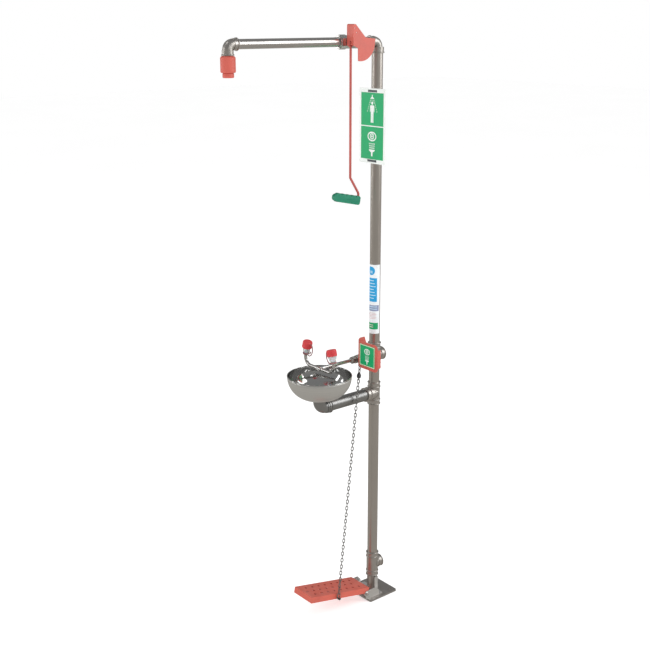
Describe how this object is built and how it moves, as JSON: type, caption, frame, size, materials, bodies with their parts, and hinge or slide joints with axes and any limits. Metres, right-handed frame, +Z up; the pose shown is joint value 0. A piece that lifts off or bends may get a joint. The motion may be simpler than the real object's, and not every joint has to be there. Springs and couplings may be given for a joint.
{
  "type": "emergency safety shower",
  "caption": "Floor-standing safety shower with a pull-rod shower head, an eyewash bowl worked by a push plate or foot treadle, and safety pictograms.",
  "frame": {"origin": "column axis at the underside of the base plate, the centre of the floor bolt holes", "axes": "+Z up along the column; the user stands on the -Y side, below the shower head; +X is the user's right"},
  "size_m": [0.2768, 0.772, 2.338],
  "materials": {
    "steel_pipe": "fine lengthwise polish",
    "steel_fitting": "cast and polished stainless",
    "steel_plate": "mill finish plate",
    "bowl_steel": "mirror inside, satin outside",
    "bright_steel": "bright zinc or stainless",
    "red_paint": "epoxy powder coat, light orange peel",
    "red_plastic": "smooth moulded",
    "green_plastic": "soft satin moulding",
    "white_seat": "smooth seat ring",
    "white_plastic": "satin moulding",
    "black_rubber": "matte",
    "tether_rubber": "thin elastic cord",
    "sign_white": "rigid board",
    "sign_green": "printed film",
    "label_film": "printed film"
  },
  "bodies": {
    "stand": {"base_plate": "steel_plate", "column_foot": "steel_pipe", "waste_tee": "steel_fitting", "waste_column": "steel_pipe", "drain_tee": "steel_fitting", "column_spacer": "steel_pipe", "column_divider": "steel_pipe", "inlet_cross": "steel_fitting", "riser": "steel_pipe", "top_elbow": "steel_fitting", "valve_nipple": "steel_pipe", "shower_valve_body": "steel_fitting", "shower_valve_tailpiece": "steel_fitting", "shower_valve_seats": "white_seat", "shower_valve_gland": "steel_fitting", "union_nut": "steel_fitting", "shower_arm": "steel_pipe", "front_elbow": "steel_fitting", "shower_head": "red_plastic", "flow_disc": "black_rubber", "spray_ring": "red_plastic", "bowl": "bowl_steel", "bowl_gasket": "black_rubber", "bowl_strainer": "bowl_steel", "bowl_lock_nut": "steel_fitting", "drain_elbow": "steel_pipe", "drain_pipe": "steel_pipe", "wash_nipple": "steel_pipe", "wash_valve_body": "steel_fitting", "wash_valve_seats": "white_seat", "wash_valve_gland": "steel_fitting", "wash_union": "steel_fitting", "supply_tube": "steel_pipe", "nozzle_manifold": "steel_pipe", "nozzle_cups": "white_plastic", "filter_discs": "white_plastic", "cap_tethers": "tether_rubber", "hinge_bracket": "steel_plate", "hinge_bolts": "bright_steel", "sign_board": "sign_white", "sign_panels": "sign_green", "sign_bands": "bright_steel", "info_label": "label_film"},
    "shower_lever_group": {"shower_valve_ball": "bright_steel", "shower_valve_stem": "bright_steel", "shower_lever_hub": "steel_fitting", "shower_lever": "red_paint"},
    "pull_handle": {"pull_rod": "red_paint", "pull_grip": "green_plastic"},
    "push_lever_group": {"wash_valve_ball": "bright_steel", "wash_valve_stem": "bright_steel", "push_lever_hub": "steel_fitting", "push_lever": "red_paint", "push_sign_plate": "sign_green", "push_chain_bolt": "bright_steel"},
    "chain_run": {"chain": "bright_steel"},
    "treadle_group": {"treadle": "red_paint", "treadle_chain_bolt": "bright_steel"},
    "cap_left": {"dust_cap_left": "red_plastic"},
    "cap_right": {"dust_cap_right": "red_plastic"}
  },
  "joints": [
    {"name": "shower_lever_turn", "type": "hinge", "parent": "stand", "child": "shower_lever_group", "pos_m": [0, -0.134, 2.275], "axis": [1, 0, 0], "range_deg": [0, 85]},
    {"name": "pull_rod_swing", "type": "hinge", "parent": "shower_lever_group", "child": "pull_handle", "pos_m": [0.044, -0.16875, 2.267], "axis": [1, 0, 0], "range_deg": [-85, 0]},
    {"name": "push_lever_turn", "type": "hinge", "parent": "stand", "child": "push_lever_group", "pos_m": [0, -0.07, 1.058], "axis": [1, 0, 0], "range_deg": [0, 60]},
    {"name": "chain_swing", "type": "hinge", "parent": "push_lever_group", "child": "chain_run", "pos_m": [0.031, -0.102, 1.058], "axis": [1, 0, 0], "range_deg": [-65, 0]},
    {"name": "treadle_hinge", "type": "hinge", "parent": "stand", "child": "treadle_group", "pos_m": [0, -0.082, 0.036], "axis": [1, 0, 0], "range_deg": [0, 8.31]},
    {"name": "cap_left_lift", "type": "slide", "parent": "stand", "child": "cap_left", "axis": [0.2588, 0, 0.9659], "range_m": [0, 0.06]},
    {"name": "cap_right_lift", "type": "slide", "parent": "stand", "child": "cap_right", "axis": [-0.2588, 0, 0.9659], "range_m": [0, 0.06]}
  ],
  "couplings": [
    {"joint": "pull_rod_swing", "follows": "shower_lever_turn", "ratio": -1},
    {"joint": "chain_swing", "follows": "push_lever_turn", "ratio": -1.018},
    {"joint": "treadle_hinge", "follows": "push_lever_turn", "ratio": 0.13833}
  ]
}
